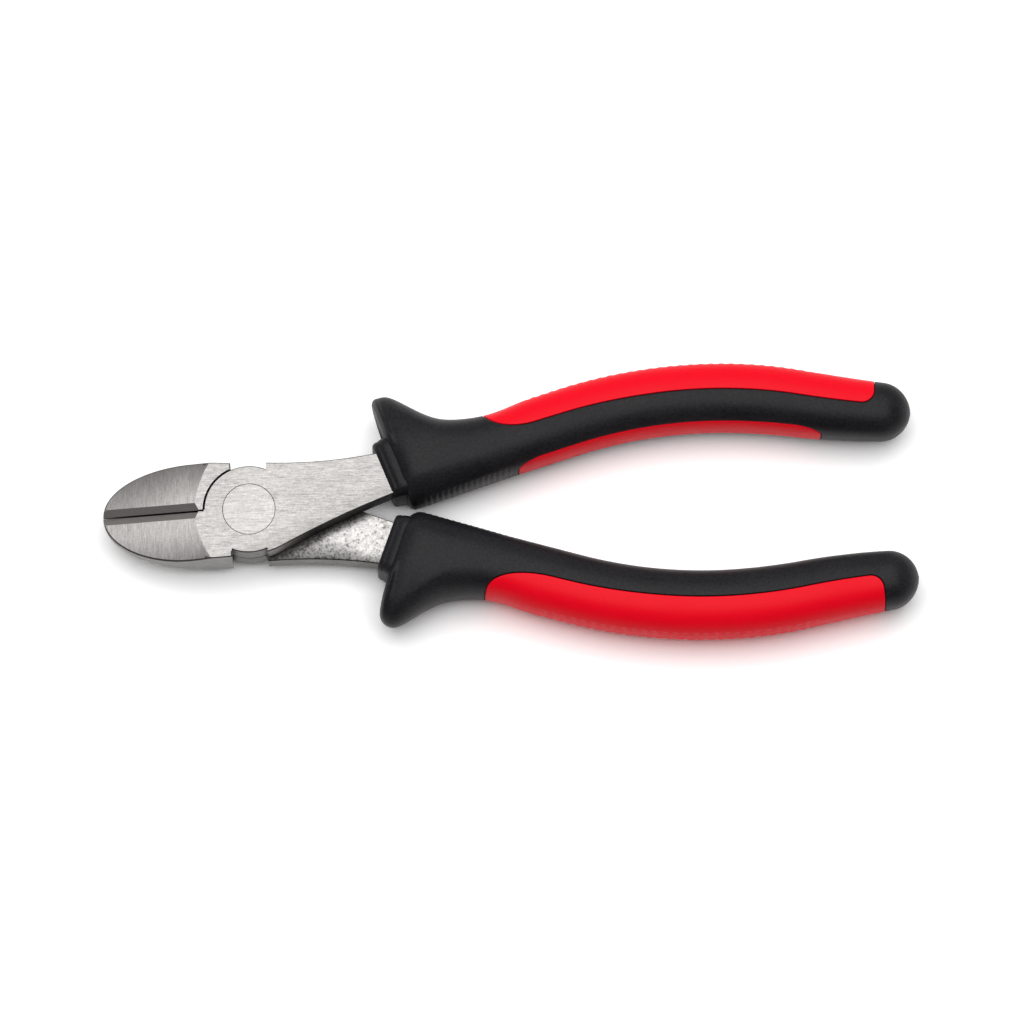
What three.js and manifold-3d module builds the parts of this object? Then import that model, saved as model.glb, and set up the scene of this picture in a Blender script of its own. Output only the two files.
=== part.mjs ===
// Side cutters with moulded two-colour grips, shut: two crossed levers on one rivet.
// Millimetres. +X runs from the pivot toward the handles, +Y toward the front lever's handle and
// +Z along the rivet. The origin lies on the pivot axis at the ground back face of the joint.

import * as THREE from 'three';
import { mergeVertices } from 'three/addons/utils/BufferGeometryUtils.js';
import Module from 'manifold-3d';

// Joint and jaws
const HEAD_THICKNESS = 8.4;
const BOSS_RADIUS = 8.85;
const BOSS_CLEARANCE = 0.25;
const LAP_GAP = 0.3;
const NOTCH_REACH = 3.5; // jaw ends and shoulders stand this far either side of the pivot
const SHOULDER_OUTER = 9.5;
const SHOULDER_INNER = 8.8;
const JAW_LENGTH = 28.8;
const JAW_HALF_WIDTH = 9.9;
const JAW_BELLY = 11.4; // the widest point lies this far from the pivot
const JAW_END_HALF_WIDTH = 9.6;
const EDGE_GAP = 0.3;
const FACE_START = 10.6; // the ground jaw faces begin this far from the pivot
const FACE_SLOPE = 0.18;
const FACE_TURN = 22; // degrees that the slope turns from the tip toward the outer side
const BEVEL_WIDTH = 1.4;
const BEVEL_DEPTH = 0.65;
const BEVEL_SLANT = 0.8;

// Rivet
const RIVET_HEAD_DIAMETER = 10.2;
const RIVET_HEAD_RIM = 0.5;
const RIVET_SHANK_DIAMETER = 6.2;
const RIVET_CLEARANCE = 0.15;

// Handle axis, from the mouth of the grip: straight, bowed inward, then eased out at the tail
const AXIS_START_X = 26.9;
const AXIS_START_Y = 6.1;
const AXIS_SPLAY = 16.9; // degrees
const STRAIGHT_LENGTH = 37.9;
const BOW_LENGTH = 46.2;
const BOW_TURN = 27.5; // degrees
const TAIL_LENGTH = 22.4;
const TAIL_TURN = 7; // degrees

// Neck of the lever where it goes into the grip, measured either side of the handle axis
const NECK_INNER = 4.0;
const NECK_OUTER = 4.7;
const NECK_DROP = 0.9;
const NECK_OVERLAP = 0.5;
const TANG_EDGE = 0.8;
const TANG_RELIEF = 0.05;
const TANG_EASE_LENGTH = 24;
const TANG_END_SPACE = 6;

// Grip
const GRIP_WIDTH = 13.7;
const GRIP_THICKNESS = 13.0;
const GRIP_EDGE_RADIUS = 5.6;
const FIT_GAP = 0.3;
const SHELL_WALL = 2.0;
const CORE_WALL = 1.2;
const CORE_END_WALL = 3;
const CAVITY_EDGE = 0.4;
const MOUTH_WALL = 0.6;
const COLLAR_LENGTH = 2.6;
const COLLAR_OUTER_WALL = 2.6;
const COLLAR_FACE_WALL = 1.1;
const COLLAR_EDGE_RADIUS = 2.2;
const COLLAR_ROUND = 0.6;
const GUARD_RISE = 10.4;
const GUARD_LENGTH = 20;
const GUARD_SHARPNESS = 1.4;
const GUARD_ROUND = 2.5;
const GUARD_EDGE_RADIUS = 4.6;
const MOUTH_EASE_LENGTH = 24;
const TAIL_TAPER = 1.25;
const TAIL_TAPER_LENGTH = 36;
const TAIL_ROUND = 4.4;

// Coloured pads, as stretches of the handle axis and distances from it
const OUTER_PAD_START = 22.4;
const OUTER_PAD_END = 98.9;
const OUTER_PAD_SPLIT = -0.25;
const OUTER_PAD_FRONT_RADIUS = 4.8;
const OUTER_PAD_REAR_RADIUS = 2.6;
const INNER_PAD_START = 26;
const INNER_PAD_END = 89.5;
const INNER_PAD_SPLIT = 5.35;
const INNER_PAD_RADIUS = 3.6;

// Fineness of round shapes
const BOSS_SEGMENTS = 48;
const CORNER_STEPS = 6;
const CORE_CORNER_STEPS = 3;
const ROUND_STEPS = 4;
const CUT_MARGIN = 4;

const HALF_HEAD = HEAD_THICKNESS / 2;
const AXIS_LENGTH = STRAIGHT_LENGTH + BOW_LENGTH + TAIL_LENGTH;
const WALL_STEP = SHELL_WALL + FIT_GAP;
const TANG_STEP = WALL_STEP + CORE_WALL + FIT_GAP;
const MOUTH_STEP = FIT_GAP + MOUTH_WALL + WALL_STEP;
const SHELL_FRONT = COLLAR_LENGTH + FIT_GAP;

const STEEL_GROUND = { color: 0x9a9da1, roughness: 0.36, metalness: 1 };
const STEEL_RIVET = { color: 0xb4b6b8, roughness: 0.32, metalness: 1 };
const PLASTIC_BLACK = { color: 0x17181a, roughness: 0.55, metalness: 0 };
const RUBBER_BLACK = { color: 0x1e1f21, roughness: 0.5, metalness: 0 };
const RUBBER_RED = { color: 0xc3122a, roughness: 0.48, metalness: 0 };

const wasm = await Module();
wasm.setup();

function toSolid(geometry) {
  const plain = geometry.clone();
  plain.deleteAttribute('normal');
  plain.deleteAttribute('uv');
  const merged = mergeVertices(plain, 1e-5);
  const mesh = new wasm.Mesh({
    numProp: 3,
    vertProperties: new Float32Array(merged.attributes.position.array),
    triVerts: new Uint32Array(merged.index.array),
  });
  return new wasm.Manifold(mesh);
}

function toGeometry(solid) {
  const mesh = solid.getMesh();
  const geometry = new THREE.BufferGeometry();
  geometry.setAttribute('position', new THREE.BufferAttribute(mesh.vertProperties, 3));
  geometry.setIndex(new THREE.BufferAttribute(mesh.triVerts, 1));
  return geometry;
}

function namedMesh(name, solid, look) {
  const geometry = toGeometry(solid).toNonIndexed();
  geometry.computeVertexNormals();
  const mesh = new THREE.Mesh(geometry, new THREE.MeshStandardMaterial(look));
  mesh.name = name;
  return mesh;
}

function radians(degrees) {
  return THREE.MathUtils.degToRad(degrees);
}

// 0 before the start, 1 past the end, with an even ease between
function ease(value, start, end) {
  return THREE.MathUtils.smoothstep(value, start, end);
}

// One stretch of constant turn, stepped along by a length
function stepAlong(place, length, turnPerLength) {
  const turn = turnPerLength * length;
  const chord = turn === 0 ? length : (2 * Math.sin(turn / 2)) / turnPerLength;
  const middle = place.heading + turn / 2;
  return {
    x: place.x + chord * Math.cos(middle),
    y: place.y + chord * Math.sin(middle),
    heading: place.heading + turn,
  };
}

// Point and heading of the handle axis at a distance along it from the mouth of the grip
function axisAt(s) {
  const start = { x: AXIS_START_X, y: AXIS_START_Y, heading: radians(AXIS_SPLAY) };
  if (s <= STRAIGHT_LENGTH) return stepAlong(start, s, 0);
  const bow = stepAlong(start, STRAIGHT_LENGTH, 0);
  const bowTurn = -radians(BOW_TURN) / BOW_LENGTH;
  const past = s - STRAIGHT_LENGTH;
  if (past <= BOW_LENGTH) return stepAlong(bow, past, bowTurn);
  const tail = stepAlong(bow, BOW_LENGTH, bowTurn);
  return stepAlong(tail, past - BOW_LENGTH, radians(TAIL_TURN) / TAIL_LENGTH);
}

// Point beside the handle axis: v is the distance outward, z the height over the back face
function besideAxis(s, v, z) {
  const place = axisAt(s);
  return new THREE.Vector3(place.x - v * Math.sin(place.heading), place.y + v * Math.cos(place.heading), z);
}

// Rounded rectangle across the handle axis, reaching out, in, top and bottom from it
function crossRing(s, section, steps) {
  const radius = Math.min(section.radius, (section.out + section.in) / 2, (section.top + section.bottom) / 2);
  const corners = [
    [section.out - radius, section.top - radius],
    [-section.in + radius, section.top - radius],
    [-section.in + radius, -section.bottom + radius],
    [section.out - radius, -section.bottom + radius],
  ];
  const ring = [];
  corners.forEach(([v, z], corner) => {
    for (let i = 0; i <= steps; i += 1) {
      const angle = ((corner + i / steps) * Math.PI) / 2;
      ring.push(besideAxis(s, v + radius * Math.cos(angle), HALF_HEAD + z + radius * Math.sin(angle)));
    }
  });
  return ring;
}

// Closed skin over a row of rings with equal point counts
function loft(rings) {
  const count = rings[0].length;
  const positions = [];
  const index = [];
  rings.forEach((ring) => ring.forEach((point) => positions.push(point.x, point.y, point.z)));
  const at = (ring, k) => ring * count + (k % count);
  for (let ring = 0; ring + 1 < rings.length; ring += 1) {
    for (let k = 0; k < count; k += 1) {
      index.push(at(ring, k), at(ring + 1, k + 1), at(ring + 1, k));
      index.push(at(ring, k), at(ring, k + 1), at(ring + 1, k + 1));
    }
  }
  [0, rings.length - 1].forEach((ring) => {
    const centre = new THREE.Vector3();
    rings[ring].forEach((point) => centre.addScaledVector(point, 1 / count));
    const middle = positions.length / 3;
    positions.push(centre.x, centre.y, centre.z);
    for (let k = 0; k < count; k += 1) {
      const pair = ring === 0 ? [at(ring, k + 1), at(ring, k)] : [at(ring, k), at(ring, k + 1)];
      index.push(middle, pair[0], pair[1]);
    }
  });
  const geometry = new THREE.BufferGeometry();
  geometry.setAttribute('position', new THREE.Float32BufferAttribute(positions, 3));
  geometry.setIndex(index);
  return toSolid(geometry);
}

function inset(section, amount) {
  return {
    out: section.out - amount,
    in: section.in - amount,
    top: section.top - amount,
    bottom: section.bottom - amount,
    radius: Math.max(section.radius - amount, CAVITY_EDGE),
  };
}

function guardFlare(s) {
  const t = THREE.MathUtils.clamp((s - SHELL_FRONT) / GUARD_LENGTH, 0, 1);
  return GUARD_RISE * Math.pow(0.5 + 0.5 * Math.cos(Math.PI * t), GUARD_SHARPNESS);
}

// Outside of the whole grip across the axis
function gripSection(s) {
  const body = ease(s, SHELL_FRONT, SHELL_FRONT + MOUTH_EASE_LENGTH);
  const past = Math.max(0, s - (AXIS_LENGTH - TAIL_TAPER_LENGTH)) / TAIL_TAPER_LENGTH;
  const taper = TAIL_TAPER * past * past;
  const side = GRIP_WIDTH / 2 - taper;
  const mouthIn = NECK_INNER + MOUTH_STEP;
  const half = THREE.MathUtils.lerp(HALF_HEAD + MOUTH_STEP, GRIP_THICKNESS / 2, body) - taper;
  return {
    out: side + guardFlare(s),
    in: THREE.MathUtils.lerp(mouthIn, side, body),
    top: half,
    bottom: half,
    radius: THREE.MathUtils.lerp(GUARD_EDGE_RADIUS, GRIP_EDGE_RADIUS, body) - taper,
  };
}

// Outside of the hard core inside the shell
function coreSection(s) {
  const section = inset(gripSection(s), WALL_STEP);
  const swell = (NECK_OUTER + FIT_GAP + MOUTH_WALL) - (GRIP_WIDTH / 2 - WALL_STEP);
  const limit = GRIP_WIDTH / 2 - WALL_STEP + Math.max(0, swell) * (1 - ease(s, 0, MOUTH_EASE_LENGTH));
  section.out = Math.min(section.out, limit);
  return section;
}

function collarSection() {
  const half = HALF_HEAD + FIT_GAP + COLLAR_FACE_WALL;
  return {
    out: NECK_OUTER + FIT_GAP + COLLAR_OUTER_WALL,
    in: NECK_INNER + FIT_GAP + MOUTH_WALL,
    top: half,
    bottom: half,
    radius: COLLAR_EDGE_RADIUS,
  };
}

// Steel of the lever inside the grip, eased from the neck to the middle of the handle
function tangSection(s) {
  const deep = inset(gripSection(Math.max(s, SHELL_FRONT + MOUTH_EASE_LENGTH)), TANG_STEP);
  const blend = ease(s, 0, TANG_EASE_LENGTH);
  const drop = THREE.MathUtils.lerp(-LAP_GAP, NECK_DROP, ease(s, -CUT_MARGIN, 0));
  return {
    out: THREE.MathUtils.lerp(NECK_OUTER, deep.out, blend),
    in: THREE.MathUtils.lerp(NECK_INNER, deep.in, blend),
    top: THREE.MathUtils.lerp(HALF_HEAD - TANG_RELIEF, deep.top, blend),
    bottom: THREE.MathUtils.lerp(drop, deep.bottom, blend),
    radius: TANG_EDGE,
  };
}

// Distances along the axis for a skin: even steps, closer where the section changes
function stations(from, to, pitch) {
  const count = Math.max(2, Math.ceil((to - from) / pitch));
  return Array.from({ length: count + 1 }, (_, i) => from + ((to - from) * i) / count);
}

function gripBody() {
  const rings = [];
  for (let i = 0; i <= ROUND_STEPS; i += 1) {
    const angle = (i / ROUND_STEPS) * (Math.PI / 2);
    const s = SHELL_FRONT + GUARD_ROUND * (1 - Math.cos(angle));
    rings.push(crossRing(s, inset(gripSection(s), GUARD_ROUND * (1 - Math.sin(angle))), CORNER_STEPS));
  }
  const guardEnd = SHELL_FRONT + GUARD_LENGTH;
  const tailStart = AXIS_LENGTH - TAIL_ROUND;
  const along = [
    ...stations(SHELL_FRONT + GUARD_ROUND, guardEnd, 2.2).slice(1),
    ...stations(guardEnd, STRAIGHT_LENGTH, 8).slice(1),
    ...stations(STRAIGHT_LENGTH, tailStart, 6).slice(1),
  ];
  along.forEach((s) => rings.push(crossRing(s, gripSection(s), CORNER_STEPS)));
  for (let i = 1; i <= ROUND_STEPS; i += 1) {
    const angle = (i / ROUND_STEPS) * (Math.PI / 2);
    const s = tailStart + TAIL_ROUND * Math.sin(angle);
    rings.push(crossRing(s, inset(gripSection(s), TAIL_ROUND * (1 - Math.cos(angle))), CORNER_STEPS));
  }
  return loft(rings);
}

// Space that the core takes up, grown by a gap where a neighbour is cut by it
function coreBody(front, growth) {
  const end = AXIS_LENGTH - CORE_END_WALL + growth;
  const along = [...stations(front, STRAIGHT_LENGTH, 6), ...stations(STRAIGHT_LENGTH, end, 8).slice(1)];
  return loft(along.map((s) => crossRing(s, inset(coreSection(s), -growth), CORE_CORNER_STEPS)));
}

function tangBody(front, growth) {
  const end = AXIS_LENGTH - CORE_END_WALL - TANG_END_SPACE + growth;
  const along = [...stations(front, STRAIGHT_LENGTH, 6), ...stations(STRAIGHT_LENGTH, end, 8).slice(1)];
  const edge = growth > 0 ? CAVITY_EDGE : TANG_EDGE;
  const sections = along.map((s) => ({ ...inset(tangSection(s), -growth), radius: edge }));
  return loft(along.map((s, i) => crossRing(s, sections[i], CORE_CORNER_STEPS)));
}

// Upright prism over a stretch of the handle: rounded at both ends on the side toward the axis
function padPrism(pad, growth) {
  const front = pad.start - growth;
  const rear = pad.end + growth;
  const near = pad.split - growth;
  const far = GRIP_WIDTH;
  const frontRadius = pad.frontRadius + growth;
  const rearRadius = pad.rearRadius + growth;
  const outline = [];
  for (let i = 0; i <= ROUND_STEPS; i += 1) {
    const angle = (i / ROUND_STEPS) * (Math.PI / 2);
    outline.push([
      front + frontRadius * (1 - Math.cos(angle)),
      near + frontRadius * (1 - Math.sin(angle)),
    ]);
  }
  const level = stations(front + frontRadius, rear - rearRadius, 6).slice(1, -1);
  level.forEach((s) => outline.push([s, near]));
  for (let i = ROUND_STEPS; i >= 0; i -= 1) {
    const angle = (i / ROUND_STEPS) * (Math.PI / 2);
    outline.push([
      rear - rearRadius * (1 - Math.cos(angle)),
      near + rearRadius * (1 - Math.sin(angle)),
    ]);
  }
  stations(front, rear, 8).reverse().forEach((s) => outline.push([s, far]));
  const points = outline.map(([s, v]) => besideAxis(s, pad.side * v, 0));
  const shape = new THREE.Shape(points.map((point) => new THREE.Vector2(point.x, point.y)));
  const depth = HEAD_THICKNESS + 2 * GRIP_THICKNESS;
  const prism = new THREE.ExtrudeGeometry(shape, { depth, bevelEnabled: false });
  prism.translate(0, 0, HALF_HEAD - depth / 2);
  return toSolid(prism);
}

// Block over a plan outline whose underside follows a sloping plane
function blockAbove(outline, underside) {
  const shape = new THREE.Shape(outline.map(([x, y]) => new THREE.Vector2(x, y)));
  const block = new THREE.ExtrudeGeometry(shape, { depth: 1, bevelEnabled: false });
  const position = block.attributes.position;
  for (let i = 0; i < position.count; i += 1) {
    const lower = position.getZ(i) < 0.5;
    const z = lower ? underside(position.getX(i), position.getY(i)) : HEAD_THICKNESS + CUT_MARGIN;
    position.setZ(i, z);
  }
  return toSolid(block);
}

function plate(shape, from, to) {
  const slab = new THREE.ExtrudeGeometry(shape, { depth: to - from, bevelEnabled: false, curveSegments: 16 });
  slab.translate(0, 0, from);
  return toSolid(slab);
}

function disc(radius, from, to) {
  const geometry = new THREE.CylinderGeometry(radius, radius, to - from, BOSS_SEGMENTS);
  geometry.rotateX(Math.PI / 2);
  geometry.translate(0, 0, (from + to) / 2);
  return toSolid(geometry);
}

// Waisted rivet with a countersunk head at each end, grown by a gap for its bore
function rivetBody(growth, overrun) {
  const head = RIVET_HEAD_DIAMETER / 2 + growth;
  const shank = RIVET_SHANK_DIAMETER / 2 + growth;
  const rim = RIVET_HEAD_RIM;
  const throat = rim + (RIVET_HEAD_DIAMETER - RIVET_SHANK_DIAMETER) / 2;
  const profile = [
    [0, -overrun],
    [head, -overrun],
    [head, rim],
    [shank, throat],
    [shank, HEAD_THICKNESS - throat],
    [head, HEAD_THICKNESS - rim],
    [head, HEAD_THICKNESS + overrun],
    [0, HEAD_THICKNESS + overrun],
  ];
  const points = profile.map(([radius, z]) => new THREE.Vector2(radius, z));
  const geometry = new THREE.LatheGeometry(points, BOSS_SEGMENTS);
  geometry.rotateX(Math.PI / 2);
  return toSolid(geometry);
}

// Plan of the jaw from the tip round its outer curve to the end beside the shoulder
function jawOutline() {
  const shape = new THREE.Shape();
  const edge = -EDGE_GAP / 2;
  shape.moveTo(-JAW_LENGTH, edge);
  shape.absellipse(
    -JAW_BELLY,
    edge,
    JAW_LENGTH - JAW_BELLY,
    JAW_HALF_WIDTH + edge,
    Math.PI,
    1.5 * Math.PI,
    false,
    0,
  );
  shape.lineTo(-NOTCH_REACH, -JAW_END_HALF_WIDTH);
  shape.lineTo(-NOTCH_REACH, edge);
  shape.closePath();
  return shape;
}

// Plan of the cheek behind the joint, drawn in to the neck at the mouth of the grip
function cheekOutline() {
  const outer = besideAxis(NECK_OVERLAP, NECK_OUTER, 0);
  const inner = besideAxis(NECK_OVERLAP, -NECK_INNER, 0);
  const shape = new THREE.Shape();
  shape.moveTo(-NOTCH_REACH, -EDGE_GAP / 2);
  shape.lineTo(NOTCH_REACH, -SHOULDER_INNER);
  shape.lineTo(inner.x, inner.y);
  shape.lineTo(outer.x, outer.y);
  shape.quadraticCurveTo((NOTCH_REACH + outer.x) / 2, SHOULDER_INNER, NOTCH_REACH, SHOULDER_OUTER);
  shape.lineTo(NOTCH_REACH, 0);
  shape.closePath();
  return shape;
}

// Height of the ground jaw face and of the cutting bevel sunk into it
function jawFace(x, y) {
  const turn = radians(FACE_TURN);
  const along = (-FACE_START - x) * Math.cos(turn) - y * Math.sin(turn);
  return HEAD_THICKNESS - FACE_SLOPE * along;
}

function bevelFace(x, y) {
  const out = (-y - EDGE_GAP / 2) / BEVEL_WIDTH;
  const rim = jawFace(x, -(BEVEL_WIDTH + EDGE_GAP / 2));
  return rim - BEVEL_DEPTH * (1 - out);
}

function mirroredInThickness(solid) {
  return solid.mirror([0, 0, 1]).translate([0, 0, HEAD_THICKNESS]);
}

function jawBody() {
  const wide = JAW_HALF_WIDTH + CUT_MARGIN;
  const tip = -JAW_LENGTH - CUT_MARGIN;
  const lean = wide * Math.tan(radians(FACE_TURN));
  const faceCut = blockAbove(
    [[tip, -wide], [-FACE_START + lean, -wide], [-FACE_START - lean, wide], [tip, wide]],
    jawFace,
  );
  const rim = BEVEL_WIDTH + EDGE_GAP / 2;
  const bevelCut = blockAbove(
    [[tip, -rim], [-FACE_START, -rim], [-FACE_START + BEVEL_SLANT, 0], [tip, 0]],
    bevelFace,
  );
  let jaw = plate(jawOutline(), 0, HEAD_THICKNESS);
  [faceCut, bevelCut].forEach((cut) => {
    jaw = jaw.subtract(cut).subtract(mirroredInThickness(cut));
  });
  const lapFace = HALF_HEAD + LAP_GAP / 2;
  return jaw.subtract(disc(BOSS_RADIUS + BOSS_CLEARANCE, -CUT_MARGIN, lapFace));
}

function leverBody() {
  const lapFace = HALF_HEAD + LAP_GAP / 2;
  const joint = disc(BOSS_RADIUS, lapFace, HEAD_THICKNESS).add(plate(cheekOutline(), lapFace, HEAD_THICKNESS));
  const steel = joint.add(jawBody()).add(tangBody(-CUT_MARGIN, 0));
  return steel.subtract(rivetBody(RIVET_CLEARANCE, CUT_MARGIN));
}

function coreSolid() {
  const collar = collarSection();
  const rings = [];
  for (let i = 0; i <= ROUND_STEPS; i += 1) {
    const angle = (i / ROUND_STEPS) * (Math.PI / 2);
    const section = inset(collar, COLLAR_ROUND * (1 - Math.sin(angle)));
    rings.push(crossRing(COLLAR_ROUND * (1 - Math.cos(angle)), section, CORE_CORNER_STEPS));
  }
  rings.push(crossRing(COLLAR_LENGTH, collar, CORE_CORNER_STEPS));
  const sleeve = coreBody(COLLAR_ROUND, 0);
  return loft(rings).add(sleeve).subtract(tangBody(-CUT_MARGIN, FIT_GAP));
}

function addHalf(side) {
  const outerPad = {
    side: 1,
    start: OUTER_PAD_START,
    end: OUTER_PAD_END,
    split: OUTER_PAD_SPLIT,
    frontRadius: OUTER_PAD_FRONT_RADIUS,
    rearRadius: OUTER_PAD_REAR_RADIUS,
  };
  const innerPad = {
    side: -1,
    start: INNER_PAD_START,
    end: INNER_PAD_END,
    split: INNER_PAD_SPLIT,
    frontRadius: INNER_PAD_RADIUS,
    rearRadius: INNER_PAD_RADIUS,
  };
  const moulding = gripBody().subtract(coreBody(-CUT_MARGIN, FIT_GAP));
  const shell = moulding.subtract(padPrism(outerPad, FIT_GAP)).subtract(padPrism(innerPad, FIT_GAP));
  const half = new THREE.Group();
  half.name = `${side}_half`;
  half.add(namedMesh(`${side}_lever`, leverBody(), STEEL_GROUND));
  half.add(namedMesh(`${side}_grip_core`, coreSolid(), PLASTIC_BLACK));
  half.add(namedMesh(`${side}_grip_shell`, shell, RUBBER_BLACK));
  half.add(namedMesh(`${side}_outer_pad`, moulding.intersect(padPrism(outerPad, 0)), RUBBER_RED));
  half.add(namedMesh(`${side}_inner_pad`, moulding.intersect(padPrism(innerPad, 0)), RUBBER_RED));
  return half;
}

const group = new THREE.Group();
group.name = 'side_cutters';
group.add(addHalf('front'));

// The rear half is the same set of pieces turned over about the long axis
const rear = addHalf('rear');
rear.rotation.x = Math.PI;
rear.position.z = HEAD_THICKNESS;
group.add(rear);

group.add(namedMesh('pivot_rivet', rivetBody(0, 0), STEEL_RIVET));

export default group;
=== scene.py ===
"""Side cutters with two-colour grips: the looks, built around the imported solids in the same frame."""
import math

import bmesh
import bpy
import numpy as np
from mathutils import Matrix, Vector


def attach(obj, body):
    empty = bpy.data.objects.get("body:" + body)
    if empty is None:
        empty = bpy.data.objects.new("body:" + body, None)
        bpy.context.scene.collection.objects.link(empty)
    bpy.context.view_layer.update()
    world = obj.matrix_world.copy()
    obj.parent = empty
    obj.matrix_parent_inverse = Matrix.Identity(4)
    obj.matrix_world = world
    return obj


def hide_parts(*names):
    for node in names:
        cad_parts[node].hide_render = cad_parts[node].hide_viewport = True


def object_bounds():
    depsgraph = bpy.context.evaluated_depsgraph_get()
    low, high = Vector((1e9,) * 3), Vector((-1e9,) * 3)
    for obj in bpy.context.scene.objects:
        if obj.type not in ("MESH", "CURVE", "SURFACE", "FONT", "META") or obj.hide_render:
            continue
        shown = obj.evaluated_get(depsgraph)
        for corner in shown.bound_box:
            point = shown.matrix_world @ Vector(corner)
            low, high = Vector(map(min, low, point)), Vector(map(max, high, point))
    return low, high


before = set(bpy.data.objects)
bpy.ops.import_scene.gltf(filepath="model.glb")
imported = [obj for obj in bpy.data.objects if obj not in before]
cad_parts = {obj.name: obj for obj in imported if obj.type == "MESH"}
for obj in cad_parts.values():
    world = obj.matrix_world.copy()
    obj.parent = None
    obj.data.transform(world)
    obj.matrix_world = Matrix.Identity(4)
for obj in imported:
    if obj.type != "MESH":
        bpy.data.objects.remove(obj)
cad_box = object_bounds()

MM = 0.001

# Head and joint, in millimetres as in the solids
THICK = 8.4
HALF = THICK / 2
LAP_GAP = 0.3
LAP = HALF + LAP_GAP / 2
BOSS, BOSS_CLEARANCE = 8.85, 0.25
NOTCH = 3.5
NOTCH_ANGLE = math.asin(NOTCH / BOSS)
SHOULDER_OUTER, SHOULDER_INNER = 9.5, 8.8
JAW_LENGTH, JAW_HALF_WIDTH, JAW_BELLY, JAW_END = 28.8, 9.9, 11.4, 9.6
EDGE_GAP, TIP_GAP, TIP_TAPER = 0.38, 0.14, 2.4
FACE_START, FACE_SLOPE, FACE_SWEEP, FACE_SWEEP_LIMIT = 10.6, 0.18, 3.0, 12.0
FACE_CROWN, FACE_CROWN_EASE = 0.0115, 5.0
BEVEL_WIDTH, BEVEL_DEPTH, BEVEL_SLANT = 1.4, 0.65, 0.8
BEVEL_RIM = BEVEL_WIDTH + EDGE_GAP / 2
RIVET_HEAD, RIVET_CLEARANCE, RIVET_ROUND, RIVET_ROUND_SHARE = 5.15, 0.07, 0.08, 0.3
CHAMFER = 0.2

# Handle axis, neck and tang
AXIS_X, AXIS_Y, SPLAY = 26.9, 6.1, math.radians(16.9)
STRAIGHT, BOW, BOW_TURN, TAIL, TAIL_TURN = 37.9, 46.2, math.radians(27.5), 22.4, math.radians(7)
LENGTH = STRAIGHT + BOW + TAIL
NECK_INNER, NECK_OUTER, NECK_DROP, NECK_BOW, NECK_END = 4.0, 4.7, 0.9, 0.4, 1.6
BEND_X, BEND_Y = 7.0, 7.35
SHOULDER_LEAD = (5.4, -8.3)
TANG_START, TANG_END, TANG_HALF, TANG_EASE, TANG_CORNER = 1.2, 98.0, 3.0, 24.0, 0.7
TANG_CLEARANCE, TANG_TOP_DROP, TANG_BOTTOM_GROWTH = 0.05, 1.5, 1.8
TANG_SLIM, TANG_SLIM_START = 0.9, 80.0

# Grip sections and finger guard; the two grips of the photographed tool differ a little
GRIP_HALF_WIDTH, GRIP_HALF_THICK = 6.70, 6.5
MOUTH_HALF_WIDTH, MOUTH_HALF_THICK, MOUTH_EASE = 7.2, 7.4, 24.0
SECTION_POWER, GUARD_SECTION_POWER, SECTION_CHANGE = 2.45, 2.12, (8.0, 21.0)
SHELL_FRONT = 2.9
GUARD_ROUND = {"front": 1.28, "rear": 2.8}
GUARD_RISE = {"front": 9.95, "rear": 10.2}
GUARD_FLAT = {"front": 2.67, "rear": 3.45}
GUARD_LENGTH = {"front": 5.87, "rear": 5.9}
GUARD_SHARPNESS = {"front": 1.58, "rear": 1.44}
GUARD_LEAN = {"front": 0.63, "rear": 0.41}
GUARD_LEAN_REACH, GUARD_LEAN_LENGTH = (1.0, 9.0), 9.0
GUARD_SLOPE_LENGTH, GUARD_SLOPE_DEPTH = 4.8, 2.5
GUARD_THINNING, GUARD_THINNING_REACH, GUARD_THINNING_RISE = 0.30, (3.0, 17.0), 8.0
GUARD_SPREAD = (math.radians(70), math.radians(110))
GUARD_CROWN = 1.0
GUARD_LIP, GUARD_LIP_AT, GUARD_LIP_WIDTH, GUARD_LIP_REACH = 1.25, 0.75, 0.55, (5.5, 8.0)
WAIST, WAIST_AT, WAIST_LENGTH = 0.62, 24.0, 18.0
TAIL_TAPER, TAIL_TAPER_LENGTH, TAIL_ROUND = 1.4, 36.0, 5.5

# Collar of the core, its pocket in the shell and the bore for the tang
COLLAR_LENGTH, COLLAR_OUTER, COLLAR_INNER, COLLAR_DEEP, COLLAR_CORNER = 2.6, 7.5, 5.0, 5.5, 2.2
COLLAR_SHIFT = {"front": -0.05, "rear": 0.40}
COLLAR_EDGE, COLLAR_TAPER, COLLAR_SKEW = 1.2, 0.5, 0.065
COLLAR_HIDDEN, COLLAR_BACK_CUT = 1.2, 2.0
OUTER_CUT, INNER_CUT, CORNER_CUT = 0.5, 0.3, 0.4
COLLAR_POCKET, MOUTH_SQUARENESS, MOUTH_SHARE, MOUTH_STEPS = 4.7, 0.4, 0.9, (0.12, 0.5, 1.0)
BORE, BORE_OUTER, BORE_INNER, BORE_DEEP, BORE_EASE, BORE_END = 3.4, 1.4, 0.9, 1.2, 24.0, 98.6

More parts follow.
